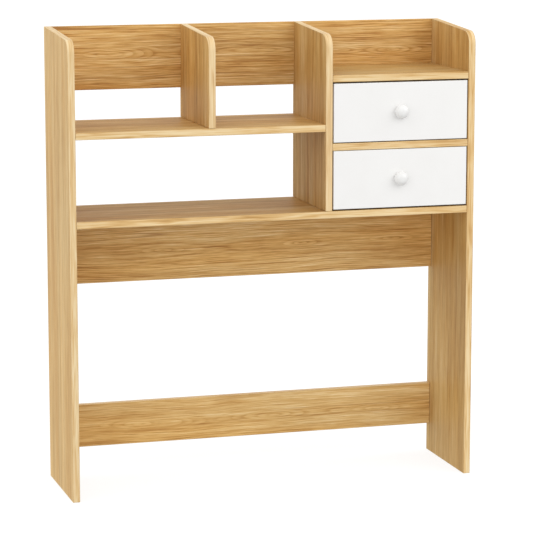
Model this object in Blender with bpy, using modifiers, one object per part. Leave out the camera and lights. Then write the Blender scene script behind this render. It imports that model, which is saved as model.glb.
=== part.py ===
"""Desk hutch: an open shelving unit that stands on two side panels, with
book bays across the top, two drawers at the right and an open space below
the lower shelf.

Units in the constants are millimetres.  In the constants X runs from the
left outer face, Y from the front plane towards the back, Z from the floor.
The finished part is in metres with +Z up, the front towards -Y, and its
origin on the floor at the middle of the whole outline, knobs included.
"""

import math

import bmesh
import bpy
from mathutils import Matrix, Vector

MM = 0.001

# ---------------------------------------------------------------- overall
WIDTH = 880.0
DEPTH = 235.0
HEIGHT = 972.0
BOARD = 15.0                 # thickness of every carcass board
FIT = 0.3                    # gap left where two pieces meet
EASE = 0.7                   # eased edges of the boards
CORNER_RADIUS = 28.0         # rounded top front corner of the uprights
TOP_DROP = 13.4              # the top edges of the uprights slope down to the front
TOP_LEVEL_Y = 229.0          # behind this they are level

# ---------------------------------------------------------------- uprights
RIGHT_PANEL_X = WIDTH - BOARD
SHORT_DIVIDER_X = 295.3      # left face
TALL_DIVIDER_X = 548.1       # left face
COLUMN_X0 = TALL_DIVIDER_X + BOARD      # drawer column, left side
COLUMN_X1 = RIGHT_PANEL_X               # drawer column, right side

# ---------------------------------------------------------------- shelves
LOWER_SHELF_TOP = 589.1
UPPER_SHELF_TOP = 772.1
DRAWER_TOP_SHELF_TOP = 875.4
DRAWER_DIVIDER_TOP = 731.8

# ---------------------------------------------------------------- rear boards
BACK_THICKNESS = 5.0
BACK_INSET = 0.5             # rear face of the thin boards from the rear plane
BACK_FRONT_Y = DEPTH - BACK_INSET - BACK_THICKNESS
BACK_BOARD_BOTTOM = 836.0
BACK_X0 = 7.5                # the thin board lies in rebates of the side panels
BACK_X1 = WIDTH - 7.5
RAIL_REAR_INSET = 4.0        # apron and stretcher, from the rear plane
RAIL_Y1 = DEPTH - RAIL_REAR_INSET
RAIL_Y0 = RAIL_Y1 - BOARD
RAIL_MID_Y = (RAIL_Y0 + RAIL_Y1) / 2
APRON_BOTTOM = 422.4
STRETCHER_BOTTOM = 64.1
STRETCHER_TOP = 157.1

# ---------------------------------------------------------------- drawers
FRONT_THICKNESS = 15.0
FRONT_HEIGHT = 123.5
FRONT_SIDE_GAP = 2.5
UPPER_FRONT_Z = DRAWER_DIVIDER_TOP + 1.9
LOWER_FRONT_Z = LOWER_SHELF_TOP + 3.2
BOX_SIDE = 12.0
BOX_HEIGHT = 95.0
BOX_LENGTH = 200.0
BOX_ABOVE_FRONT = 4.0        # box underside above the front's lower edge
BOTTOM_THICKNESS = 3.0
BOTTOM_LIFT = 8.0            # drawer bottom above the box underside
GROOVE_DEPTH = 5.0
RUNNER_THICKNESS = 8.0
RUNNER_HEIGHT = 16.0
RUNNER_Y0 = 16.5
RUNNER_Y1 = 206.5
RUNNER_PLAY = 0.4            # above and below the runner in its groove
RUNNER_GROOVE = 6.3          # depth of the groove in the drawer side
RUNNER_SCREW_Y = (45.0, 175.0)

KNOB_LENGTH = 17.5
KNOB_RADIUS = 15.0
KNOB_ABOVE_MIDDLE = 0.0

# ---------------------------------------------------------------- fittings
CAM_RADIUS = 7.5
CAM_HEIGHT = 12.2
CAM_FROM_END = 24.0          # cam centre from the end of its board
CAM_Y = (50.0, 185.0)        # cams under the lower shelf
APRON_CAM_Z = 498.0
STRETCHER_CAM_Z = 110.6
BACK_SCREW_Z = 904.0

ORIGIN = Vector((WIDTH / 2, (DEPTH - KNOB_LENGTH - FIT) / 2, 0.0))


def at(x, y, z):
    """Point of the drawing, in metres in the part's own frame."""
    return (Vector((x, y, z)) - ORIGIN) * MM


# ---------------------------------------------------------------- scene
for old in list(bpy.data.objects):
    bpy.data.objects.remove(old, do_unlink=True)

part = bpy.data.collections.new("desk_hutch")
cutters = bpy.data.collections.new("desk_hutch_cutters")
bpy.context.scene.collection.children.link(part)
bpy.context.scene.collection.children.link(cutters)


def principled(name, color, roughness, metallic=0.0):
    material = bpy.data.materials.new(name)
    material.use_nodes = True
    shader = material.node_tree.nodes["Principled BSDF"]
    shader.inputs["Base Color"].default_value = (*color, 1.0)
    shader.inputs["Roughness"].default_value = roughness
    shader.inputs["Metallic"].default_value = metallic
    material.diffuse_color = (*color, 1.0)
    return material


OAK = (0.600, 0.395, 0.200)
OAK_DARK = (0.500, 0.310, 0.140)
WHITE = (0.870, 0.865, 0.850)
BOX_WOOD = (0.700, 0.580, 0.410)
HARDBOARD = (0.420, 0.270, 0.150)
ZINC = (0.560, 0.560, 0.560)
STEEL = (0.620, 0.610, 0.580)


def empty(name, where):
    ob = bpy.data.objects.new(name, None)
    ob.empty_display_size = 0.03
    ob.location = where
    part.objects.link(ob)
    return ob


carcass = empty("carcass_origin", Vector((0, 0, 0)))


def place(ob, where, parent, material):
    part.objects.link(ob)
    ob.parent = parent
    ob.location = where - parent.location
    ob.data.materials.clear()
    ob.data.materials.append(material)
    return ob


def ease_edges(ob, width=EASE, segments=1):
    mod = ob.modifiers.new("eased_edges", "BEVEL")
    mod.width = width * MM
    mod.segments = segments
    mod.limit_method = "ANGLE"
    mod.angle_limit = math.radians(40)
    mod.harden_normals = False


def board(name, lo, hi, parent, color, roughness=0.5, ease=EASE, segments=1):
    """Rectangular board between two corners of the drawing."""
    size = Vector(hi) - Vector(lo)
    bm = bmesh.new()
    bmesh.ops.create_cube(bm, size=1.0)
    bmesh.ops.scale(bm, vec=size * MM, verts=bm.verts)
    mesh = bpy.data.meshes.new(name)
    bm.to_mesh(mesh)
    bm.free()
    ob = bpy.data.objects.new(name, mesh)
    middle = (Vector(hi) + Vector(lo)) / 2
    place(ob, at(*middle), parent, principled(name, color, roughness))
    if ease:
        ease_edges(ob, ease, segments)
    return ob


def upright(name, x0, z0, z1, parent, color):
    """Vertical board from its side outline: the top edge slopes down to a rounded
    front corner."""
    outline = [(0.0, z0), (DEPTH, z0), (DEPTH, z1), (TOP_LEVEL_Y, z1)]
    slope = math.atan2(TOP_DROP, TOP_LEVEL_Y)
    centre_z = (z1 - TOP_DROP + math.tan(slope) * CORNER_RADIUS * (1 - math.sin(slope))
                - CORNER_RADIUS * math.cos(slope))
    steps = 11
    for i in range(steps + 1):
        angle = math.pi / 2 + slope + (math.pi / 2 - slope) * i / steps
        outline.append((CORNER_RADIUS + CORNER_RADIUS * math.cos(angle),
                        centre_z + CORNER_RADIUS * math.sin(angle)))
    curve = bpy.data.curves.new(name + "_outline", "CURVE")
    curve.dimensions = "2D"
    curve.fill_mode = "BOTH"
    curve.extrude = BOARD / 2 * MM
    spline = curve.splines.new("POLY")
    spline.points.add(len(outline) - 1)
    y_mid, z_mid = DEPTH / 2, (z0 + z1) / 2
    for point, (y, z) in zip(spline.points, outline):
        point.co = ((y - y_mid) * MM, (z - z_mid) * MM, 0.0, 1.0)
    spline.use_cyclic_u = True
    flat = bpy.data.objects.new(name + "_outline", curve)
    part.objects.link(flat)
    # the outline's plane stands up: its X becomes Y and its Y becomes Z
    flat.matrix_world = (Matrix.Translation(at(x0 + BOARD / 2, y_mid, z_mid))
                         @ Matrix(((0, 0, 1, 0), (1, 0, 0, 0),
                                   (0, 1, 0, 0), (0, 0, 0, 1))))
    bpy.context.view_layer.update()
    graph = bpy.context.evaluated_depsgraph_get()
    mesh = bpy.data.meshes.new_from_object(flat.evaluated_get(graph))
    mesh.name = name
    bm = bmesh.new()
    bm.from_mesh(mesh)
    bmesh.ops.remove_doubles(bm, verts=bm.verts, dist=0.00005)
    bmesh.ops.dissolve_limit(bm, angle_limit=math.radians(1),
                             verts=bm.verts, edges=bm.edges)
    bm.to_mesh(mesh)
    bm.free()
    ob = bpy.data.objects.new(name, mesh)
    part.objects.link(ob)
    ob.parent = parent
    ob.matrix_world = flat.matrix_world
    mesh.materials.clear()
    mesh.materials.append(principled(name, color, 0.5))
    bpy.data.objects.remove(flat, do_unlink=True)
    ease_edges(ob)
    return ob


def add_box(bm, lo, hi):
    size = (Vector(hi) - Vector(lo)) * MM
    made = bmesh.ops.create_cube(bm, size=1.0)["verts"]
    bmesh.ops.scale(bm, vec=size, verts=made)
    bmesh.ops.translate(bm, vec=at(*((Vector(hi) + Vector(lo)) / 2)), verts=made)


def add_rod(bm, start, end, radius, segments=16):
    """Solid cylinder between two points of the drawing."""
    a, b = at(*start), at(*end)
    turn = (b - a).to_track_quat("Z", "Y").to_matrix().to_4x4()
    bmesh.ops.create_cone(bm, cap_ends=True, segments=segments,
                          radius1=radius * MM, radius2=radius * MM,
                          depth=(b - a).length,
                          matrix=Matrix.Translation((a + b) / 2) @ turn)


def cut(ob, label, boxes=(), rods=()):
    """Removes boxes or rods, which don't touch each other, from a piece."""
    bm = bmesh.new()
    for lo, hi in boxes:
        add_box(bm, lo, hi)
    for rod in rods:
        add_rod(bm, *rod)
    mesh = bpy.data.meshes.new(f"{ob.name}_{label}")
    bm.to_mesh(mesh)
    bm.free()
    tool = bpy.data.objects.new(f"{ob.name}_{label}", mesh)
    cutters.objects.link(tool)
    tool.hide_render = True
    tool.display_type = "WIRE"
    mod = ob.modifiers.new(label, "BOOLEAN")
    mod.operation = "DIFFERENCE"
    mod.object = tool


def turned(name, profile, steps, foot, direction, parent, color,
           roughness, metallic):
    """Piece of revolution: profile of (radius, height) from its top down its
    outer side, standing on foot and pointing along direction."""
    mesh = bpy.data.meshes.new(name)
    bm = bmesh.new()
    verts = [bm.verts.new((r * MM, 0.0, h * MM)) for r, h in profile]
    for a, b in zip(verts, verts[1:]):
        bm.edges.new((a, b))
    bm.to_mesh(mesh)
    bm.free()
    ob = bpy.data.objects.new(name, mesh)
    place(ob, at(*foot), parent, principled(name, color, roughness, metallic))
    ob.rotation_mode = "QUATERNION"
    ob.rotation_quaternion = Vector(direction).to_track_quat("Z", "Y")
    mod = ob.modifiers.new("turn", "SCREW")
    mod.axis = "Z"
    mod.angle = math.radians(360)
    mod.steps = steps
    mod.render_steps = steps
    mod.use_merge_vertices = True
    mod.merge_threshold = 0.00002
    mod.use_smooth_shade = True
    return ob


def arc(cx, cz, radius, start, stop, count):
    """Points of an arc, angles in degrees from the radial direction."""
    points = []
    for i in range(count + 1):
        a = math.radians(start + (stop - start) * i / count)
        points.append((cx + radius * math.cos(a), cz + radius * math.sin(a)))
    return points


# ================================================================ carcass
left_panel = upright("left_side_panel", 0.0, 0.0, HEIGHT, carcass, OAK)
right_panel = upright("right_side_panel", RIGHT_PANEL_X, 0.0, HEIGHT, carcass, OAK)
tall_divider = upright("tall_divider", TALL_DIVIDER_X,
                       LOWER_SHELF_TOP + FIT, HEIGHT, carcass, OAK_DARK)
short_divider = upright("short_divider", SHORT_DIVIDER_X,
                        UPPER_SHELF_TOP + FIT, HEIGHT, carcass, OAK_DARK)

INNER_X0, INNER_X1 = BOARD + FIT, RIGHT_PANEL_X - FIT

lower_shelf = board("lower_shelf",
                    (INNER_X0, 0.0, LOWER_SHELF_TOP - BOARD),
                    (INNER_X1, DEPTH, LOWER_SHELF_TOP), carcass, OAK)
upper_shelf = board("upper_shelf",
                    (INNER_X0, 0.0, UPPER_SHELF_TOP - BOARD),
                    (TALL_DIVIDER_X - FIT, DEPTH, UPPER_SHELF_TOP), carcass, OAK)
drawer_top_shelf = board("drawer_top_shelf",
                         (COLUMN_X0 + FIT, 0.0, DRAWER_TOP_SHELF_TOP - BOARD),
                         (COLUMN_X1 - FIT, BACK_FRONT_Y - FIT, DRAWER_TOP_SHELF_TOP),
                         carcass, OAK)
drawer_divider_shelf = board("drawer_divider_shelf",
                             (COLUMN_X0 + FIT, 0.0, DRAWER_DIVIDER_TOP - BOARD),
                             (COLUMN_X1 - FIT, BACK_FRONT_Y - FIT, DRAWER_DIVIDER_TOP),
                             carcass, OAK)

back_board = board("back_board",
                   (BACK_X0, BACK_FRONT_Y, BACK_BOARD_BOTTOM),
                   (BACK_X1, BACK_FRONT_Y + BACK_THICKNESS, HEIGHT),
                   carcass, OAK_DARK, ease=0.4)
drawer_back_panel = board("drawer_back_panel",
                          (COLUMN_X0 - BOARD / 2 + FIT, BACK_FRONT_Y,
                           LOWER_SHELF_TOP + FIT),
                          (BACK_X1, BACK_FRONT_Y + BACK_THICKNESS,
                           BACK_BOARD_BOTTOM - FIT),
                          carcass, OAK_DARK, ease=0.4)
apron_board = board("apron_board",
                    (INNER_X0, RAIL_Y0, APRON_BOTTOM),
                    (INNER_X1, RAIL_Y1, LOWER_SHELF_TOP - BOARD - FIT),
                    carcass, OAK_DARK)
bottom_stretcher = board("bottom_stretcher",
                         (INNER_X0, RAIL_Y0, STRETCHER_BOTTOM),
                         (INNER_X1, RAIL_Y1, STRETCHER_TOP), carcass, OAK)

# rebates at the rear of the uprights, where the thin boards lie
REBATE_Y0, PAST = BACK_FRONT_Y - FIT, 5.0
REBATE_Z0 = BACK_BOARD_BOTTOM - FIT
cut(left_panel, "rear_rebate",
    boxes=[((BACK_X0 - FIT, REBATE_Y0, REBATE_Z0),
            (BOARD + PAST, DEPTH + PAST, HEIGHT + PAST))])
cut(right_panel, "rear_rebate",
    boxes=[((RIGHT_PANEL_X - PAST, REBATE_Y0, LOWER_SHELF_TOP),
            (BACK_X1 + FIT, DEPTH + PAST, HEIGHT + PAST))])
cut(short_divider, "rear_notch",
    boxes=[((SHORT_DIVIDER_X - PAST, REBATE_Y0, REBATE_Z0),
            (SHORT_DIVIDER_X + BOARD + PAST, DEPTH + PAST, HEIGHT + PAST))])
cut(tall_divider, "rear_notch",
    boxes=[((TALL_DIVIDER_X - PAST, REBATE_Y0, REBATE_Z0),
            (TALL_DIVIDER_X + BOARD + PAST, DEPTH + PAST, HEIGHT + PAST))])
cut(tall_divider, "rear_rebate",
    boxes=[((TALL_DIVIDER_X + BOARD / 2, REBATE_Y0, LOWER_SHELF_TOP - PAST),
            (TALL_DIVIDER_X + BOARD + PAST, DEPTH + PAST, REBATE_Z0 + PAST))])

# ================================================================ cams and bolts
# A bolt is screwed into the side panel and its head sits in the cam, which is
# let into the shelf, apron or stretcher.
BOLT_IN_PANEL = 10.0
BOLT_PROFILE = [(0.0, CAM_FROM_END + 0.4), (2.9, CAM_FROM_END + 0.4),
                (3.2, CAM_FROM_END - 0.2), (3.2, CAM_FROM_END - 2.2),
                (1.7, CAM_FROM_END - 3.0), (1.7, CAM_FROM_END - 5.5),
                (2.4, CAM_FROM_END - 6.2), (2.4, 0.0),
                (2.8, -0.5), (2.8, -BOLT_IN_PANEL + 1.0),
                (2.0, -BOLT_IN_PANEL), (0.0, -BOLT_IN_PANEL)]


def cam_joint(label, target, side, y, z, cam_axis):
    """Cam and bolt between one end of a board and the side panel there.
    side is -1 for the left end and +1 for the right one."""
    end_x = INNER_X0 if side < 0 else INNER_X1
    inward = -side
    cam_x = end_x + inward * CAM_FROM_END
    panel_face = BOARD if side < 0 else RIGHT_PANEL_X
    bm = bmesh.new()
    if cam_axis == "z":          # let in from the underside of the shelf
        low, high = z - BOARD / 2, z + BOARD / 2
        start, end = (cam_x, y, low + 0.3), (cam_x, y, low + 0.3 + CAM_HEIGHT)
        bore = ((cam_x, y, low - 2.0), (cam_x, y, low + CAM_HEIGHT + 0.6))
        slots = (((cam_x - 4.0, y - 0.8, low - 1.0), (cam_x + 4.0, y + 0.8, low + 2.0)),
                 ((cam_x - 0.8, y - 4.0, low - 1.0), (cam_x + 0.8, y + 4.0, low + 2.0)))
    else:                        # let in from the rear face of the rail
        start, end = (cam_x, RAIL_Y1 - 0.3, z), (cam_x, RAIL_Y1 - 0.3 - CAM_HEIGHT, z)
        bore = ((cam_x, RAIL_Y1 + 2.0, z), (cam_x, RAIL_Y1 - CAM_HEIGHT - 0.6, z))
        slots = (((cam_x - 4.0, RAIL_Y1 - 2.0, z - 0.8), (cam_x + 4.0, RAIL_Y1 + 1.0, z + 0.8)),
                 ((cam_x - 0.8, RAIL_Y1 - 2.0, z - 4.0), (cam_x + 0.8, RAIL_Y1 + 1.0, z + 4.0)))
    a, b = Vector(start), Vector(end)
    turn = (b - a).to_track_quat("Z", "Y")
    bmesh.ops.create_cone(bm, cap_ends=True, segments=20,
                          radius1=CAM_RADIUS * MM, radius2=CAM_RADIUS * MM,
                          depth=(b - a).length * MM)
    mesh = bpy.data.meshes.new(label + "_cam")
    bm.to_mesh(mesh)
    bm.free()
    mesh.shade_smooth()
    mesh.set_sharp_from_angle(angle=math.radians(35))
    cam = bpy.data.objects.new(label + "_cam", mesh)
    place(cam, at(*((a + b) / 2)), carcass,
          principled(label + "_cam", ZINC, 0.35, 1.0))
    cam.rotation_mode = "QUATERNION"
    cam.rotation_quaternion = turn
    cut(cam, "bolt_way",
        rods=[((cam_x - inward * 12.0, y, z), (cam_x + inward * 2.0, y, z), 3.6, 12)])
    cut(cam, "driver_slot_a", boxes=[slots[0]])
    cut(cam, "driver_slot_b", boxes=[slots[1]])
    turned(label + "_bolt", BOLT_PROFILE, 12, (end_x, y, z), (inward, 0, 0),
           carcass, STEEL, 0.35, 1.0)
    bores_cam.setdefault(target.name, (target, []))[1].append((*bore, CAM_RADIUS + 0.3, 20))
    bores_bolt.setdefault(target.name, (target, []))[1].append(
        ((end_x - inward * 2.0, y, z), (cam_x - inward * (CAM_RADIUS - 1.5), y, z), 2.8, 12))
    panel = left_panel if side < 0 else right_panel
    bores_panel.setdefault(panel.name, (panel, []))[1].append(
        ((panel_face + inward * 2.0, y, z),
         (panel_face - inward * (BOLT_IN_PANEL + 0.3), y, z), 3.1, 12))


bores_cam, bores_bolt, bores_panel = {}, {}, {}
SHELF_MID_Z = LOWER_SHELF_TOP - BOARD / 2
for side, word in ((-1, "left"), (1, "right")):
    for y, place_word in zip(CAM_Y, ("front", "rear")):
        cam_joint(f"lower_shelf_{word}_{place_word}", lower_shelf, side, y,
                  SHELF_MID_Z, "z")
    cam_joint(f"apron_{word}", apron_board, side, RAIL_MID_Y, APRON_CAM_Z, "y")
    cam_joint(f"stretcher_{word}", bottom_stretcher, side, RAIL_MID_Y,
              STRETCHER_CAM_Z, "y")
for label, table in (("cam_bores", bores_cam), ("bolt_bores", bores_bolt),
                     ("panel_bores", bores_panel)):
    for ob, rods in table.values():
        cut(ob, label, rods=rods)

# ================================================================ screws
def screw_profile(head_radius, head_height, shaft_radius, length):
    """Pan head screw, its height 0 at the underside of the head."""
    return [(0.0, head_height), (head_radius * 0.6, head_height * 0.92),
            (head_radius, head_height * 0.45), (head_radius, 0.0),
            (shaft_radius, 0.0), (shaft_radius, -length + 2.0), (0.0, -length)]


# the thin back board is held by one screw at each upright
BACK_SCREWS = (("left_end", 11.25, left_panel), ("short_divider", SHORT_DIVIDER_X + BOARD / 2, short_divider),
               ("tall_divider", TALL_DIVIDER_X + BOARD / 2, tall_divider),
               ("right_end", WIDTH - 11.25, right_panel))
BACK_REAR_Y = BACK_FRONT_Y + BACK_THICKNESS
HEAD_SEAT_Y = BACK_REAR_Y - 2.4
for label, x, target in BACK_SCREWS:
    turned(f"back_screw_{label}", screw_profile(3.2, 2.0, 1.5, 18.0), 12,
           (x, HEAD_SEAT_Y + 0.2, BACK_SCREW_Z), (0, 1, 0), carcass, STEEL, 0.35, 1.0)
    cut(target, "back_screw_bore",
        rods=[((x, HEAD_SEAT_Y - 19.0, BACK_SCREW_Z), (x, DEPTH + PAST, BACK_SCREW_Z), 1.8, 10)])
cut(back_board, "head_recess",
    rods=[((x, HEAD_SEAT_Y, BACK_SCREW_Z), (x, DEPTH + PAST, BACK_SCREW_Z), 3.5, 14)
          for _, x, _ in BACK_SCREWS])
cut(back_board, "screw_holes",
    rods=[((x, BACK_FRONT_Y - 2.0, BACK_SCREW_Z), (x, DEPTH + PAST, BACK_SCREW_Z), 1.8, 10)
          for _, x, _ in BACK_SCREWS])

# ================================================================ drawers
KNOB_PROFILE = (
    [(0.0, KNOB_LENGTH), (3.6, KNOB_LENGTH - 0.2), (7.0, KNOB_LENGTH - 0.95),
     (9.9, KNOB_LENGTH - 2.4), (12.3, KNOB_LENGTH - 4.6), (14.0, KNOB_LENGTH - 7.3),
     (14.85, KNOB_LENGTH - 10.1), (KNOB_RADIUS, 6.0), (14.5, 4.2), (13.2, 2.4),
     (11.4, 1.0), (10.0, 0.0), (2.35, 0.0), (2.35, 11.0), (0.0, 11.0)])


def drawer(word, front_z):
    mid_x = (COLUMN_X0 + COLUMN_X1) / 2
    x0, x1 = COLUMN_X0 + FRONT_SIDE_GAP, COLUMN_X1 - FRONT_SIDE_GAP
    box_z0 = front_z + BOX_ABOVE_FRONT
    box_z1 = box_z0 + BOX_HEIGHT
    box_y0 = FRONT_THICKNESS + FIT
    box_y1 = box_y0 + BOX_LENGTH
    runner_z = (box_z0 + box_z1) / 2
    knob_z = front_z + FRONT_HEIGHT / 2 + KNOB_ABOVE_MIDDLE
    # the drawer slides along Y through this point
    slide = empty(f"{word}_drawer_origin", at(mid_x, 0.0, front_z + FRONT_HEIGHT / 2))
    bpy.context.view_layer.update()

    front = board(f"{word}_drawer_front", (x0, 0.0, front_z),
                  (x1, FRONT_THICKNESS, front_z + FRONT_HEIGHT), slide, WHITE, 0.45,
                  ease=0.9, segments=2)
    left = board(f"{word}_drawer_left_side", (x0, box_y0, box_z0),
                 (x0 + BOX_SIDE, box_y1, box_z1), slide, BOX_WOOD)
    right = board(f"{word}_drawer_right_side", (x1 - BOX_SIDE, box_y0, box_z0),
                  (x1, box_y1, box_z1), slide, BOX_WOOD)
    bottom_z0 = box_z0 + BOTTOM_LIFT
    bottom_z1 = bottom_z0 + BOTTOM_THICKNESS
    board(f"{word}_drawer_back",
          (x0 + BOX_SIDE + FIT, box_y1 - BOX_SIDE, bottom_z1 + FIT),
          (x1 - BOX_SIDE - FIT, box_y1, box_z1), slide, BOX_WOOD)
    board(f"{word}_drawer_bottom",
          (x0 + BOX_SIDE - GROOVE_DEPTH + FIT, FRONT_THICKNESS - GROOVE_DEPTH + FIT,
           bottom_z0),
          (x1 - BOX_SIDE + GROOVE_DEPTH - FIT, box_y1 - FIT, bottom_z1),
          slide, HARDBOARD, 0.6, ease=0.0)
    cut(front, "bottom_groove",
        boxes=[((x0 + BOX_SIDE - GROOVE_DEPTH, FRONT_THICKNESS - GROOVE_DEPTH, bottom_z0 - FIT),
                (x1 - BOX_SIDE + GROOVE_DEPTH, FRONT_THICKNESS + PAST, bottom_z1 + FIT))])
    cut(left, "bottom_groove",
        boxes=[((x0 + BOX_SIDE - GROOVE_DEPTH, box_y0 - PAST, bottom_z0 - FIT),
                (x0 + BOX_SIDE + PAST, box_y1 + PAST, bottom_z1 + FIT))])
    cut(right, "bottom_groove",
        boxes=[((x1 - BOX_SIDE - PAST, box_y0 - PAST, bottom_z0 - FIT),
                (x1 - BOX_SIDE + GROOVE_DEPTH, box_y1 + PAST, bottom_z1 + FIT))])
    half = RUNNER_HEIGHT / 2 + RUNNER_PLAY
    cut(left, "runner_groove",
        boxes=[((x0 - PAST, box_y0 - PAST, runner_z - half),
                (x0 + RUNNER_GROOVE, box_y1 + PAST, runner_z + half))])
    cut(right, "runner_groove",
        boxes=[((x1 - RUNNER_GROOVE, box_y0 - PAST, runner_z - half),
                (x1 + PAST, box_y1 + PAST, runner_z + half))])

    # knob and the screw that holds it from inside the drawer
    turned(f"{word}_drawer_knob", KNOB_PROFILE, 28, (mid_x, -FIT, knob_z), (0, -1, 0),
           slide, WHITE, 0.3, 0.0)
    turned(f"{word}_drawer_knob_screw", screw_profile(4.0, 2.6, 2.0, 24.0), 14,
           (mid_x, FRONT_THICKNESS + FIT, knob_z), (0, 1, 0), slide, STEEL, 0.35, 1.0)
    cut(front, "knob_screw_bore",
        rods=[((mid_x, -PAST, knob_z), (mid_x, FRONT_THICKNESS + PAST, knob_z), 2.5, 16)])

    # runners, screwed to the uprights on both sides of the drawer
    for side, face, upright_board in ((-1, COLUMN_X0, tall_divider),
                                      (1, COLUMN_X1, right_panel)):
        side_word = "left" if side < 0 else "right"
        inward = -side
        edges = sorted((face + inward * FIT, face + inward * (FIT + RUNNER_THICKNESS)))
        runner = board(f"{word}_drawer_{side_word}_runner",
                       (edges[0], RUNNER_Y0, runner_z - RUNNER_HEIGHT / 2),
                       (edges[1], RUNNER_Y1, runner_z + RUNNER_HEIGHT / 2),
                       carcass, BOX_WOOD, 0.6, ease=0.5)
        inner = face + inward * (FIT + RUNNER_THICKNESS)
        seat = inner - inward * 3.0
        heads, holes, pilots = [], [], []
        for y, place_word in zip(RUNNER_SCREW_Y, ("front", "rear")):
            turned(f"{word}_drawer_{side_word}_runner_screw_{place_word}",
                   screw_profile(3.6, 2.4, 1.6, 16.0), 12,
                   (seat + inward * FIT, y, runner_z), (inward, 0, 0),
                   carcass, STEEL, 0.35, 1.0)
            heads.append(((seat, y, runner_z), (inner + inward * 3.0, y, runner_z), 3.9, 14))
            holes.append(((face - inward * 2.0, y, runner_z),
                          (inner + inward * 3.0, y, runner_z), 1.9, 10))
            pilots.append(((face + inward * 2.0, y, runner_z),
                           (seat - inward * 16.3, y, runner_z), 1.9, 10))
        cut(runner, "head_recess", rods=heads)
        cut(runner, "screw_holes", rods=holes)
        cut(upright_board, f"{word}_runner_pilots", rods=pilots)


drawer("upper", UPPER_FRONT_Z)
drawer("lower", LOWER_FRONT_Z)

bpy.context.view_layer.update()
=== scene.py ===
import math

import bmesh
import bpy
from mathutils import Matrix, Vector


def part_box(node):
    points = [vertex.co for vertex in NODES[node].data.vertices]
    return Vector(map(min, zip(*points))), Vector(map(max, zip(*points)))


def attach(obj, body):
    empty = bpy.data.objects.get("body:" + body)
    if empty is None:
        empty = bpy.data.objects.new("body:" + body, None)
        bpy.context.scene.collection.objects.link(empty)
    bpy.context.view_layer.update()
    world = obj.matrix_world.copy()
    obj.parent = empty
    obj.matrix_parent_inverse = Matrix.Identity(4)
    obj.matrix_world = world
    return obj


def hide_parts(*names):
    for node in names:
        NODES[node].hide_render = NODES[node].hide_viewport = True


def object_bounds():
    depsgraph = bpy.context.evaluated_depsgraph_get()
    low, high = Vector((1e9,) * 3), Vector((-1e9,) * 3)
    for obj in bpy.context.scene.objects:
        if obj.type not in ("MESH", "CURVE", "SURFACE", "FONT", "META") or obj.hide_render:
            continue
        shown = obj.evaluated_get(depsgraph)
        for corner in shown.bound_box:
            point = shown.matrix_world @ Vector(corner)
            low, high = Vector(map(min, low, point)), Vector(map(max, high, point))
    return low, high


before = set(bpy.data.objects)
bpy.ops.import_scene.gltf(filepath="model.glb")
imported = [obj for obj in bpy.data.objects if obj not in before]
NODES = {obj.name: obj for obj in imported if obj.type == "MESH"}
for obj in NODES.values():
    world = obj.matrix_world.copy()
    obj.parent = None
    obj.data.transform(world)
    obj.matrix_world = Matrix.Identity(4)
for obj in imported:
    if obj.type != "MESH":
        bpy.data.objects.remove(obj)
CAD_BOX = [list(v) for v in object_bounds()]

# light: radiance from below and from above, extra from the left and the front, key lamp in watts
WORLD_BELOW, WORLD_ABOVE, WORLD_LEFT, WORLD_FRONT = 0.57, 1.01, 0.26, 0.15
KEY_POWER = 78.0


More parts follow.
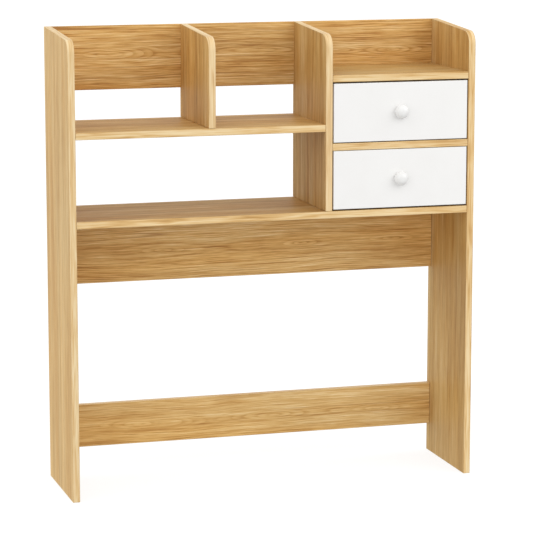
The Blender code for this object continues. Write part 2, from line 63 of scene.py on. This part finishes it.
# --------------------------------------------------------------------------
# node helpers
# --------------------------------------------------------------------------
class Tree:
    """Small wrapper that builds a material's nodes in code."""

    def __init__(self, name):
        self.material = bpy.data.materials.new(name)
        self.material.use_nodes = True
        self.tree = self.material.node_tree
        self.tree.nodes.clear()
        self.out = self.new("ShaderNodeOutputMaterial")
        self.shader = self.new("ShaderNodeBsdfPrincipled")
        self.link(self.shader.outputs["BSDF"], self.out.inputs["Surface"])

    def new(self, kind):
        return self.tree.nodes.new(kind)

    def link(self, a, b):
        self.tree.links.new(a, b)

    def put(self, value, socket):
        if isinstance(value, bpy.types.NodeSocket):
            self.link(value, socket)
        else:
            socket.default_value = value

    def math(self, op, a, b=0.0, c=None, clamp=False):
        n = self.new("ShaderNodeMath")
        n.operation = op
        n.use_clamp = clamp
        self.put(a, n.inputs[0])
        self.put(b, n.inputs[1])
        if c is not None:
            self.put(c, n.inputs[2])
        return n.outputs[0]

    def add(self, a, b):
        return self.math("ADD", a, b)

    def sub(self, a, b):
        return self.math("SUBTRACT", a, b)

    def mul(self, a, b):
        return self.math("MULTIPLY", a, b)

    def mad(self, a, b, c):
        return self.math("MULTIPLY_ADD", a, b, c)

    def vec(self, x, y, z):
        n = self.new("ShaderNodeCombineXYZ")
        for v, s in zip((x, y, z), n.inputs):
            self.put(v, s)
        return n.outputs[0]

    def noise(self, vector, scale=1.0, detail=2.0, rough=0.5, distort=0.0):
        n = self.new("ShaderNodeTexNoise")
        n.noise_dimensions = "3D"
        self.put(vector, n.inputs["Vector"])
        n.inputs["Scale"].default_value = scale
        n.inputs["Detail"].default_value = detail
        n.inputs["Roughness"].default_value = rough
        n.inputs["Distortion"].default_value = distort
        return n.outputs["Fac"]

    def span(self, value, lo, hi, to_lo=0.0, to_hi=1.0, smooth=False):
        n = self.new("ShaderNodeMapRange")
        n.clamp = True
        if smooth:
            n.interpolation_type = "SMOOTHSTEP"
        self.put(value, n.inputs["Value"])
        for key, v in (("From Min", lo), ("From Max", hi),
                       ("To Min", to_lo), ("To Max", to_hi)):
            self.put(v, n.inputs[key])
        return n.outputs["Result"]

    def ramp(self, value, stops):
        n = self.new("ShaderNodeValToRGB")
        e = n.color_ramp.elements
        while len(e) > 1:
            e.remove(e[-1])
        e[0].position, e[0].color = stops[0][0], (*stops[0][1], 1)
        for p, c in stops[1:]:
            s = e.new(p)
            s.color = (*c, 1)
        self.put(value, n.inputs["Fac"])
        return n.outputs["Color"]

    def mix(self, fac, a, b, mode="MIX"):
        n = self.new("ShaderNodeMix")
        n.data_type = "RGBA"
        n.blend_type = mode
        n.clamp_factor = True
        sockets = [s for s in n.inputs if s.type == "RGBA"]
        self.put(fac, [s for s in n.inputs if s.type == "VALUE"][0])
        for v, s in zip((a, b), sockets):
            if isinstance(v, bpy.types.NodeSocket):
                self.link(v, s)
            else:
                s.default_value = (*v, 1)
        return [s for s in n.outputs if s.type == "RGBA"][0]

    def scale_color(self, color, factor):
        """colour times a grey factor"""
        n = self.new("ShaderNodeVectorMath")
        n.operation = "SCALE"
        self.put(color, n.inputs[0])
        self.put(factor, n.inputs["Scale"])
        return n.outputs[0]

    def coords(self):
        tc = self.new("ShaderNodeTexCoord")
        sep = self.new("ShaderNodeSeparateXYZ")
        self.link(tc.outputs["Object"], sep.inputs[0])
        return sep.outputs

    def normal(self):
        g = self.new("ShaderNodeNewGeometry")
        sep = self.new("ShaderNodeSeparateXYZ")
        self.link(g.outputs["True Normal"], sep.inputs[0])
        return g, sep.outputs

    def bevel(self, radius, samples=4):
        n = self.new("ShaderNodeBevel")
        n.samples = samples
        n.inputs["Radius"].default_value = radius
        return n.outputs["Normal"]

    def bump(self, height, distance, strength=1.0, normal=None):
        n = self.new("ShaderNodeBump")
        n.inputs["Strength"].default_value = strength
        n.inputs["Distance"].default_value = distance
        self.put(height, n.inputs["Height"])
        if normal is not None:
            self.link(normal, n.inputs["Normal"])
        return n.outputs["Normal"]

    def finish(self, color, rough, normal=None, metallic=0.0, specular=0.5, coat=0.0,
               coat_rough=0.1):
        s = self.shader.inputs
        self.put(color if isinstance(color, bpy.types.NodeSocket) else (*color, 1), s["Base Color"])
        self.put(rough, s["Roughness"])
        s["Metallic"].default_value = metallic
        s["Specular IOR Level"].default_value = specular
        s["Coat Weight"].default_value = coat
        s["Coat Roughness"].default_value = coat_rough
        if normal is not None:
            self.link(normal, s["Normal"])
        return self.material


def mm(v):
    return v * 0.001


# --------------------------------------------------------------------------
# oak board
# --------------------------------------------------------------------------
# linear colours of the decor, from the darkest late wood to the palest streak
OAK = ((0.00, (0.285, 0.126, 0.032)), (0.18, (0.400, 0.196, 0.050)), (0.38, (0.522, 0.290, 0.086)),
       (0.58, (0.622, 0.382, 0.132)), (0.80, (0.705, 0.475, 0.200)), (1.00, (0.790, 0.590, 0.310)))
BAND = ((0.00, (0.500, 0.280, 0.095)), (0.28, (0.655, 0.405, 0.160)), (0.58, (0.765, 0.530, 0.252)),
        (1.00, (0.860, 0.675, 0.395)))


def oak(name, grain, thick, seed, pith=None, eyes=(), contrast=1.0, bands=1.0, tone_and_painted_light=1.0, rings=0.5,
        lines=0.5, edge_tone=1.0, edge_pale=0.0, gloss=0.30, spacing=3.9, painted_sheen_hue=0.0, wander=0.55):
    """Oak decor on a board.  grain and thick are axis numbers: the grain runs
    along grain and the main faces look along thick.  The figure is a cut through
    growth rings round a pith line: pith is the line's place across the board and
    eyes are the places along the board where it comes near the face, each with
    how fast it dives away again, so the rings close there into eyes and arches."""
    t = Tree(name)
    xyz = t.coords()
    width_axis = 3 - grain - thick
    u, v, n = xyz[grain], xyz[width_axis], xyz[thick]
    if pith is None:
        lo, hi = BOARD_BOX[name]
        pith = lo[width_axis] - 0.25 * (hi[width_axis] - lo[width_axis])

    # the growth lines wander: slowly over the board, then in shorter waves
    def wave(fu, fv, off):
        return t.noise(t.vec(t.mad(u, fu, seed + off), t.mad(v, fv, off), t.mul(n, fv)), 1.0, 1.0, 0.5)

    w1, w2, w3 = wave(2.0, 8.0, 0.0), wave(8.5, 34.0, 5.0), wave(34.0, 130.0, 9.0)
    v_w = t.add(t.add(v, t.mad(w1, mm(34 * wander), mm(-17 * wander))),
                t.add(t.mad(w2, mm(5.6 * wander), mm(-2.8 * wander)),
                      t.mad(w3, mm(1.1 * wander), mm(-0.55 * wander))))

    # growth rings
    depth = t.mad(wave(4.2, 0.0, 17.0), mm(46), mm(-10))
    for eye_u, dive in eyes:
        depth = t.math("SMOOTH_MIN", depth, t.mad(t.math("ABSOLUTE", t.sub(u, eye_u)), dive, mm(0.5)), mm(6))
    dv = t.sub(v_w, pith)
    radius = t.math("SQRT", t.add(t.mul(dv, dv), t.mul(depth, depth)))
    uneven = t.noise(t.vec(t.mad(radius, 62.0, seed), 0.0, 0.0), 1.0, 1.0, 0.5)
    phase = t.add(t.mul(radius, 1000.0 / spacing), t.mul(uneven, 3.4))
    saw = t.math("FRACT", phase)
    ring = t.mul(t.span(saw, 0.0, 0.60, 0.0, 1.0, True), t.span(saw, 0.84, 1.0, 1.0, 0.0, True))
    ring_rank = t.new("ShaderNodeTexWhiteNoise")
    ring_rank.noise_dimensions = "1D"
    t.link(t.add(t.math("FLOOR", phase), seed), ring_rank.inputs["W"])
    ring_power = t.mad(ring_rank.outputs["Value"], 0.85, 0.30)

    # streaks of the fibres
    def streak(fu, fv, off, detail=2.0, rough=0.55):
        return t.noise(t.vec(t.mad(u, fu, seed * 1.7 + off), t.mad(v_w, fv, seed * 3.1 + off),
                             t.mad(n, 30.0, seed)), 1.0, detail, rough)

    s0 = streak(0.9, 10.0, 3.0, 1.0)
    s1 = streak(2.0, 46.0, 11.0)
    s2 = streak(5.0, 205.0, 23.0, 3.0, 0.6)
    s3 = streak(15.0, 500.0, 37.0, 3.0, 0.6)
    fade = t.span(wave(5.0, 22.0, 31.0), 0.30, 0.70, 0.35, 1.0)
    figure = t.mul(t.sub(s0, 0.5), 0.50 * contrast * bands)
    figure = t.mad(t.sub(s1, 0.5), 0.95 * contrast * bands, figure)
    figure = t.mad(t.sub(s2, 0.5), 0.95 * contrast, figure)
    figure = t.mad(t.sub(s3, 0.5), 1.90 * contrast, figure)
    figure = t.mad(t.mul(t.mul(t.sub(ring, 0.62), ring_power), fade), rings, figure)
    figure = t.add(figure, 0.54)
    color = t.ramp(figure, OAK)

    # a few long dark lines, reddish, where the wood was resting
    contour = streak(0.9, 24.0, 51.0, 1.0, 0.4)
    line = t.span(t.math("ABSOLUTE", t.sub(contour, 0.47)), 0.0, 0.016, 1.0, 0.0, True)
    line = t.mul(line, t.span(streak(2.6, 9.0, 57.0, 1.0), 0.48, 0.62))
    line = t.mul(line, t.mad(s3, 1.2, 0.2))
    color = t.mix(t.math("MULTIPLY", line, lines, clamp=True), color, (0.320, 0.140, 0.036))

    # orange and yellow patches follow the grain
    warm = t.span(streak(1.8, 26.0, 71.0, 1.0), 0.34, 0.66, -0.5, 0.5)
    # painted sheen: a negative hue makes a board paler and less orange, as on the outer left panel
    tint = t.vec(t.mad(warm, 0.030, 1.0), t.mad(warm, -0.045, 1.0 - 0.35 * painted_sheen_hue), t.mad(warm, -0.22, 1.0 - painted_sheen_hue))
    tinted = t.new("ShaderNodeVectorMath")
    tinted.operation = "MULTIPLY"
    t.link(color, tinted.inputs[0])
    t.link(tint, tinted.inputs[1])
    color = tinted.outputs[0]

    # pores: short dark dashes, most of them in the early wood
    pore = t.noise(t.vec(t.mad(u, 42.0, seed), t.mul(v_w, 1250.0), t.mul(n, 40.0)), 1.0, 1.0, 0.5)
    early = t.span(saw, 0.05, 0.55, 1.0, 0.35)
    pore_mask = t.mul(t.span(pore, 0.58, 0.70, 0.0, 1.0), early)
    color = t.mix(t.mul(pore_mask, 0.42), color, (0.290, 0.145, 0.048))

    slow = t.noise(t.vec(t.mad(xyz[0], 3.1, seed * 5), t.mul(xyz[1], 3.1), t.mul(xyz[2], 3.1)), 1.0, 1.0, 0.5)
    # painted light and shade: the factor set per board lightens or darkens its whole face; it is partly the
    # board's own tone and partly light and shade painted in board by board
    color = t.scale_color(color, t.mul(t.mad(slow, 0.18, 0.91), tone_and_painted_light))

    # edge band: paler, with long amber flames along the edge
    flame = t.noise(t.vec(t.mad(n, 150.0, seed), t.mul(u, 9.5), t.mul(v, 9.5)), 1.0, 2.0, 0.55, 0.6)
    thread = t.noise(t.vec(t.mad(n, 560.0, seed), t.mul(u, 13.0), t.mul(v, 13.0)), 1.0, 2.0, 0.6)
    long = t.noise(t.vec(t.mad(n, 60.0, seed), t.mul(u, 2.4), t.mul(v, 2.4)), 1.0, 1.0, 0.5)
    band_value = t.add(t.mad(t.sub(flame, 0.5), 1.7, 0.62),
                       t.add(t.mul(t.sub(thread, 0.5), 1.5), t.mul(t.sub(long, 0.5), 0.9)))
    band = t.mix(edge_pale, t.ramp(band_value, BAND), (0.860, 0.690, 0.460))
    band = t.scale_color(band, t.mul(t.mad(slow, 0.08, 0.96), edge_tone))
    geo, nrm = t.normal()
    on_face = t.span(t.math("ABSOLUTE", nrm[thick]), 0.55, 0.80)
    color = t.mix(on_face, band, color)

    # painted highlight and wear: the eased edges, found from the Bevel normal, are painted a little lighter,
    # partly as rubbed wear and partly as the highlight they catch
    round_normal = t.bevel(mm(1.3))
    dot = t.new("ShaderNodeVectorMath")
    dot.operation = "DOT_PRODUCT"
    t.link(round_normal, dot.inputs[0])
    t.link(geo.outputs["True Normal"], dot.inputs[1])
    rub_and_highlight = t.span(dot.outputs["Value"], 0.995, 0.80, 0.0, 0.40)
    color = t.mix(rub_and_highlight, color, (0.860, 0.680, 0.420))

    relief = t.add(t.mul(s2, 0.5), t.sub(t.mul(s3, 0.4), t.mul(pore_mask, 0.7)))
    normal = t.bump(relief, mm(0.12), 0.55, round_normal)
    rough = t.add(t.mad(s2, 0.10, 0.42), t.mul(pore_mask, 0.12))
    return t.finish(color, rough, normal, specular=gloss)


def plain_wood(name, grain, seed, light, dark, rough=0.55, pore_amount=0.2):
    """Plain sawn timber for the drawer boxes and runners."""
    t = Tree(name)
    xyz = t.coords()
    a, b = [i for i in range(3) if i != grain]
    u = xyz[grain]
    sway = t.noise(t.vec(t.mul(u, 3.0), t.mul(xyz[a], 9.0), t.mul(xyz[b], 9.0)), 1.0, 1.0)
    va = t.mad(sway, mm(14), xyz[a])
    vb = t.mad(sway, mm(10), xyz[b])
    bands = t.noise(t.vec(t.mad(u, 2.0, seed), t.mul(va, 70.0), t.mul(vb, 70.0)), 1.0, 2.0, 0.55)
    fine = t.noise(t.vec(t.mad(u, 5.0, seed), t.mul(va, 420.0), t.mul(vb, 420.0)), 1.0, 3.0, 0.6)
    value = t.span(t.add(t.mul(bands, 0.6), t.mul(fine, 0.4)), 0.34, 0.66)
    color = t.ramp(value, [(0.0, dark), (0.5, tuple((p + q) / 2 for p, q in zip(light, dark))), (1.0, light)])
    pore = t.noise(t.vec(t.mad(u, 40.0, seed), t.mul(va, 1300.0), t.mul(vb, 1300.0)), 1.0, 1.0)
    pores = t.span(pore, 0.60, 0.72, 0.0, pore_amount)
    color = t.mix(pores, color, tuple(c * 0.55 for c in dark))
    normal = t.bump(t.sub(t.mul(fine, 0.6), pores), mm(0.15), 0.6, t.bevel(mm(0.8)))
    return t.finish(color, t.mad(fine, 0.15, rough - 0.07), normal, specular=0.35)


def hardboard(name, seed):
    t = Tree(name)
    xyz = t.coords()
    p = t.vec(*xyz)
    flakes = t.noise(p, 900.0, 3.0, 0.65)
    patches = t.noise(p, 60.0, 2.0, 0.5)
    value = t.add(t.mul(flakes, 0.7), t.mul(patches, 0.3))
    color = t.ramp(value, [(0.25, (0.22, 0.125, 0.055)), (0.5, (0.38, 0.235, 0.115)), (0.75, (0.53, 0.36, 0.20))])
    normal = t.bump(flakes, mm(0.15), 0.6)
    return t.finish(color, t.mad(patches, 0.2, 0.5), normal, specular=0.3)


def white_board(name, seed):
    """White laminate with a very fine orange-peel skin."""
    t = Tree(name)
    xyz = t.coords()
    p = t.vec(*xyz)
    cloud = t.noise(p, 9.0 + seed, 2.0, 0.5)
    speck = t.noise(p, 260.0, 2.0, 0.5)
    peel = t.noise(p, 1400.0, 1.0, 0.5)
    color = t.ramp(t.add(t.mul(cloud, 0.7), t.mul(speck, 0.3)),
                   [(0.3, (0.866, 0.856, 0.838)), (0.5, (0.878, 0.870, 0.854)), (0.7, (0.888, 0.880, 0.866))])
    geo, nrm = t.normal()
    round_normal = t.bevel(mm(1.4))
    dot = t.new("ShaderNodeVectorMath")
    dot.operation = "DOT_PRODUCT"
    t.link(round_normal, dot.inputs[0])
    t.link(geo.outputs["True Normal"], dot.inputs[1])
    # painted highlight and wear: the eased edges, found from the Bevel normal, are painted paler, partly as rubbed
    # wear and partly as the highlight they catch
    rub_and_highlight = t.span(dot.outputs["Value"], 0.995, 0.80, 0.0, 0.5)
    color = t.mix(rub_and_highlight, color, (0.93, 0.93, 0.92))
    normal = t.bump(t.add(t.mul(peel, 0.6), t.mul(speck, 0.4)), mm(0.05), 0.5, round_normal)
    return t.finish(color, t.mad(cloud, 0.08, 0.36), normal, specular=0.5)


def white_knob(name, seed):
    t = Tree(name)
    p = t.vec(*t.coords())
    cloud = t.noise(p, 45.0 + seed, 2.0, 0.5)
    peel = t.noise(p, 900.0, 1.0, 0.5)
    color = t.ramp(cloud, [(0.3, (0.815, 0.810, 0.794)), (0.7, (0.858, 0.854, 0.840))])
    normal = t.bump(peel, mm(0.03), 0.5)
    return t.finish(color, t.mad(cloud, 0.06, 0.22), normal, specular=0.5, coat=0.35, coat_rough=0.12)


def cast_metal(name, seed, light, dark, rough, scale=700.0):
    t = Tree(name)
    p = t.vec(*t.coords())
    grainy = t.noise(p, scale, 3.0, 0.6)
    stain = t.noise(p, 90.0 + seed, 2.0, 0.5)
    color = t.mix(t.span(stain, 0.35, 0.65), dark, light)
    color = t.scale_color(color, t.mad(grainy, 0.2, 0.9))
    normal = t.bump(grainy, mm(0.06), 0.7)
    return t.finish(color, t.mad(stain, 0.18, rough - 0.08), normal, metallic=1.0)


def assign(node, material):
    ob = NODES[node]
    if not ob.material_slots:
        ob.data.materials.append(material)
    for slot in ob.material_slots:
        slot.material = material


# --------------------------------------------------------------------------
# boards of the carcass
# --------------------------------------------------------------------------
X, Y, Z = 0, 1, 2
# board, grain axis, thickness axis, seed and what is special about it
back_z = (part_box("back_board")[0].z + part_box("back_board")[1].z) / 2
apron_z = (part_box("apron_board")[0].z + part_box("apron_board")[1].z) / 2
rail_z = (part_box("bottom_stretcher")[0].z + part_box("bottom_stretcher")[1].z) / 2
# painted light and shade: each board's tone is partly its own and partly painted; most shelves, the dividers and
# the right panel, which stand in the bays' shade, are set darker, the outer left panel lighter
BOARDS = (
    # painted sheen: the outer left panel is painted lighter and paler than the other boards
    ("left_side_panel", Z, X, 1.3, dict(
        contrast=0.46, bands=1.7, rings=0.12, lines=0.0, tone_and_painted_light=1.19, gloss=0.42, painted_sheen_hue=-0.17)),
    ("right_side_panel", Z, X, 5.9, dict(
        contrast=0.62, bands=1.5, rings=0.20, lines=0.1, tone_and_painted_light=0.94, gloss=0.16)),
    ("tall_divider", Z, X, 9.2, dict(
        contrast=0.75, bands=1.5, rings=0.24, lines=0.15, tone_and_painted_light=0.88, gloss=0.12, edge_pale=0.22)),
    ("short_divider", Z, X, 14.6, dict(
        contrast=0.75, bands=1.5, rings=0.20, lines=0.1, tone_and_painted_light=0.97, gloss=0.12, edge_pale=0.25)),
    ("lower_shelf", X, Z, 21.4, dict(contrast=0.80, bands=1.3, rings=0.16, lines=0.2, tone_and_painted_light=0.96, gloss=0.12)),
    ("upper_shelf", X, Z, 27.8, dict(contrast=0.80, bands=1.3, rings=0.16, lines=0.2, tone_and_painted_light=0.93, gloss=0.12)),
    ("drawer_top_shelf", X, Z, 33.1, dict(contrast=0.80, bands=1.3, rings=0.16, lines=0.2, tone_and_painted_light=0.88, gloss=0.12)),
    ("drawer_divider_shelf", X, Z, 38.7, dict(contrast=0.65, rings=0.16)),
    ("back_board", X, Y, 44.3, dict(
        contrast=0.98, rings=0.30, lines=1.0, tone_and_painted_light=1.09, pith=back_z + 0.006,
        eyes=((-0.300, 0.16), (0.020, 0.10), (0.205, 0.14), (0.325, 0.18)))),
    ("drawer_back_panel", X, Y, 50.9, dict(contrast=0.9, rings=0.4, lines=0.4)),
    ("apron_board", X, Y, 57.2, dict(
        contrast=0.85, rings=0.38, lines=0.7, tone_and_painted_light=1.22, pith=apron_z - 0.010,
        eyes=((-0.190, 0.13), (0.120, 0.16), (0.330, 0.12)))),
    ("bottom_stretcher", X, Y, 63.5, dict(
        contrast=0.76, rings=0.22, lines=0.5, tone_and_painted_light=1.11, pith=rail_z - 0.004,
        eyes=((-0.250, 0.15), (0.060, 0.12), (0.300, 0.16)))),
)
BOARD_BOX = {"oak_" + b[0]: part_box(b[0]) for b in BOARDS}
for node, grain_axis, thick_axis, seed, more in BOARDS:
    assign(node, oak("oak_" + node, grain_axis, thick_axis, seed, **more))

# --------------------------------------------------------------------------
# drawers
# --------------------------------------------------------------------------
# domed knob: radius and distance from the drawer front, from the tip round to the rim of the foot
KNOB = ((0.0, 17.5), (3.6, 17.3), (7.0, 16.55), (9.9, 15.1), (12.3, 12.9), (14.0, 10.2),
        (14.85, 7.4), (15.0, 6.0), (14.5, 4.2), (13.2, 2.4), (11.4, 1.0), (10.0, 0.0))
KNOB_BORE = ((2.35, 0.0), (2.35, 11.0), (0.0, 11.0))


def smooth_profile(points, parts=4):
    """Catmull-Rom curve through the profile, kept inside its extremes."""
    top_r, top_h = max(p[0] for p in points), max(p[1] for p in points)
    pts = [(-points[1][0], points[1][1])] + list(points) + [points[-1]]
    out = []
    for k in range(1, len(pts) - 2):
        p0, p1, p2, p3 = pts[k - 1:k + 3]
        for i in range(parts):
            f = i / parts
            out.append(tuple(
                0.5 * (2 * b + (c - a) * f + (2 * a - 5 * b + 4 * c - d) * f * f
                       + (3 * b - a - 3 * c + d) * f ** 3)
                for a, b, c, d in zip(p0, p1, p2, p3)))
    out.append(points[-1])
    return [(min(max(r, 0.0), top_r), min(max(h, 0.0), top_h)) for r, h in out]


def turned_knob(word, material, segments=72):
    """The knob as one finely turned closed body, in the place of its CAD node."""
    node = f"{word}_drawer_knob"
    lo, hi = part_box(node)
    cx, cz, foot = (lo.x + hi.x) / 2, (lo.z + hi.z) / 2, hi.y
    bm = bmesh.new()
    rows = []
    for r, h in smooth_profile(KNOB) + list(KNOB_BORE):
        y = foot - mm(h)
        if r < 1e-6:
            rows.append([bm.verts.new((cx, y, cz))])
        else:
            rows.append([bm.verts.new((cx + mm(r) * math.cos(2 * math.pi * i / segments), y,
                                       cz + mm(r) * math.sin(2 * math.pi * i / segments)))
                         for i in range(segments)])
    for a, b in zip(rows, rows[1:]):
        for i in range(segments):
            j = (i + 1) % segments
            if len(a) == 1:
                bm.faces.new((a[0], b[j], b[i]))
            elif len(b) == 1:
                bm.faces.new((a[i], a[j], b[0]))
            else:
                bm.faces.new((a[i], a[j], b[j], b[i]))
    bmesh.ops.recalc_face_normals(bm, faces=bm.faces)
    mesh = bpy.data.meshes.new(f"{word}_knob_turned")
    bm.to_mesh(mesh)
    bm.free()
    mesh.shade_smooth()
    mesh.set_sharp_from_angle(angle=math.radians(42))
    mesh.materials.append(material)
    piece = bpy.data.objects.new(f"{word}_knob_turned", mesh)
    bpy.context.scene.collection.objects.link(piece)
    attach(piece, f"{word}_drawer")
    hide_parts(node)


for k, word in enumerate(("upper", "lower")):
    s = 3.0 + 7 * k
    assign(f"{word}_drawer_front", white_board(f"white_{word}_front", s))
    turned_knob(word, white_knob(f"white_{word}_knob", s))
    for j, part in enumerate(("left_side", "right_side")):
        assign(f"{word}_drawer_{part}",
               plain_wood(f"wood_{word}_{part}", Y, s + j, (0.80, 0.68, 0.49), (0.62, 0.47, 0.29)))
    assign(f"{word}_drawer_back",
           plain_wood(f"wood_{word}_back", X, s + 4, (0.80, 0.68, 0.49), (0.62, 0.47, 0.29)))
    assign(f"{word}_drawer_bottom", hardboard(f"hardboard_{word}", s))
    for j, side in enumerate(("left", "right")):
        assign(f"{word}_drawer_{side}_runner",
               plain_wood(f"wood_{word}_{side}_runner", Y, s + 9 + j, (0.68, 0.50, 0.31), (0.47, 0.30, 0.15), 0.4))

for i, node in enumerate(sorted(NODES)):
    if node.endswith("_cam"):
        assign(node, cast_metal("zinc_" + node, i, (0.60, 0.60, 0.58), (0.42, 0.42, 0.40), 0.42))
    elif node.endswith("_bolt") or "_screw" in node:
        assign(node, cast_metal("steel_" + node, i, (0.66, 0.65, 0.60), (0.50, 0.48, 0.42), 0.32, 1200.0))

# --------------------------------------------------------------------------
# floor, light, camera
# --------------------------------------------------------------------------
def stage_disc(name, radius, height):
    mesh = bpy.data.meshes.new(name)
    bm = bmesh.new()
    bmesh.ops.create_circle(bm, cap_ends=True, segments=96, radius=radius)
    bmesh.ops.translate(bm, verts=bm.verts, vec=(0, 0, height))
    bm.to_mesh(mesh)
    bm.free()
    ob = bpy.data.objects.new(name, mesh)
    bpy.context.scene.collection.objects.link(ob)
    return ob


def stage_ball(name, radius):
    mesh = bpy.data.meshes.new(name)
    bm = bmesh.new()
    bmesh.ops.create_uvsphere(bm, u_segments=48, v_segments=24, radius=radius)
    bmesh.ops.reverse_faces(bm, faces=bm.faces)
    bm.to_mesh(mesh)
    bm.free()
    ob = bpy.data.objects.new(name, mesh)
    bpy.context.scene.collection.objects.link(ob)
    return ob


def only_seen(ob):
    """the stage is a pale surround for the picture; the lamps and the world light the object"""
    ob.visible_diffuse = False
    ob.visible_glossy = False
    ob.visible_transmission = False
    ob.visible_shadow = False


floor = stage_disc("studio_floor", 40.0, 0.0)
tf = Tree("studio_floor_white")
grit = tf.noise(tf.vec(*tf.coords()), 40.0, 2.0, 0.5)
tf.finish(tf.ramp(grit, [(0.3, (0.255, 0.255, 0.255)), (0.7, (0.265, 0.265, 0.265))]), 0.9, specular=0.0)
tf.shader.inputs["Emission Color"].default_value = (1.0, 1.0, 1.0, 1.0)
tf.shader.inputs["Emission Strength"].default_value = 0.82
# seen from under the floor the object is not hidden
facing = tf.new("ShaderNodeNewGeometry")
clear = tf.new("ShaderNodeBsdfTransparent")
either = tf.new("ShaderNodeMixShader")
tf.link(facing.outputs["Backfacing"], either.inputs[0])
tf.link(tf.shader.outputs["BSDF"], either.inputs[1])
tf.link(clear.outputs["BSDF"], either.inputs[2])
tf.link(either.outputs[0], tf.out.inputs["Surface"])
tf.material.cycles.emission_sampling = "NONE"
floor.data.materials.append(tf.material)
only_seen(floor)

surround = stage_ball("studio_surround", 42.0)
ts = Tree("studio_surround_white")
ts.finish((0.0, 0.0, 0.0), 1.0, specular=0.0)
ts.shader.inputs["Emission Color"].default_value = (1.0, 1.0, 1.0, 1.0)
ts.shader.inputs["Emission Strength"].default_value = 1.0
ts.material.cycles.emission_sampling = "NONE"
surround.data.materials.append(ts.material)
only_seen(surround)

# soft light from all round: brightest from above, a little more from the left than from the right
world = bpy.data.worlds.new("studio_world")
bpy.context.scene.world = world
world.use_nodes = True
wt = world.node_tree
back = wt.nodes["Background"]
where = wt.nodes.new("ShaderNodeTexCoord")
parts = wt.nodes.new("ShaderNodeSeparateXYZ")
wt.links.new(where.outputs["Generated"], parts.inputs[0])
lift = wt.nodes.new("ShaderNodeMapRange")
lift.interpolation_type = "SMOOTHSTEP"
wt.links.new(parts.outputs[2], lift.inputs["Value"])
for key, value in (("From Min", -0.25), ("From Max", 0.35), ("To Min", WORLD_BELOW), ("To Max", WORLD_ABOVE)):
    lift.inputs[key].default_value = value
lean = wt.nodes.new("ShaderNodeMath")
lean.operation = "MULTIPLY_ADD"
wt.links.new(parts.outputs[0], lean.inputs[0])
lean.inputs[1].default_value = -WORLD_LEFT
wt.links.new(lift.outputs[0], lean.inputs[2])
face = wt.nodes.new("ShaderNodeMath")
face.operation = "MULTIPLY_ADD"
wt.links.new(parts.outputs[1], face.inputs[0])
face.inputs[1].default_value = -WORLD_FRONT
wt.links.new(lean.outputs[0], face.inputs[2])
wt.links.new(face.outputs[0], back.inputs["Strength"])
back.inputs["Color"].default_value = (1.0, 1.0, 1.0, 1.0)


def soft_light(name, where, target, size, power, color=(1, 1, 1)):
    data = bpy.data.lights.new(name, "AREA")
    data.shape = "SQUARE"
    data.size = size
    data.energy = power
    data.color = color
    ob = bpy.data.objects.new(name, data)
    bpy.context.scene.collection.objects.link(ob)
    ob.location = where
    ob.rotation_euler = (Vector(target) - Vector(where)).to_track_quat("-Z", "Y").to_euler()
    return ob


MID = Vector((0.0, 0.0, 0.5))
soft_light("key", (3.4, -3.0, 2.9), MID, 4.0, KEY_POWER)

camera_data = bpy.data.cameras.new("camera")
camera = bpy.data.objects.new("camera", camera_data)
bpy.context.scene.collection.objects.link(camera)
# where the camera stands, from the front left corner of the left panel at floor level
CORNER = Vector((CAD_BOX[0][0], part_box("left_side_panel")[0].y, 0.0))
STAND = Vector((-1.02512, -4.90207, 1.35244))
YAW, PITCH, ROLL, FOCAL_PX = 0.28646, 0.16940, -0.00046, 2477.27
camera.location = CORNER + STAND
camera.rotation_mode = "XYZ"
look = Vector((math.sin(YAW) * math.cos(PITCH), math.cos(YAW) * math.cos(PITCH), -math.sin(PITCH)))
camera.rotation_mode = "QUATERNION"
camera.rotation_quaternion = look.to_track_quat("-Z", "Y")
camera_data.sensor_width = 36.0
camera_data.lens = 36.0 * FOCAL_PX / 533.0
camera_data.clip_start = 0.1
camera_data.clip_end = 200.0
bpy.context.scene.camera = camera

bpy.context.scene.view_settings.view_transform = "Standard"
bpy.context.scene.view_settings.look = "None"
bpy.context.scene.view_settings.exposure = 0.0
bpy.context.scene.view_settings.gamma = 1.0
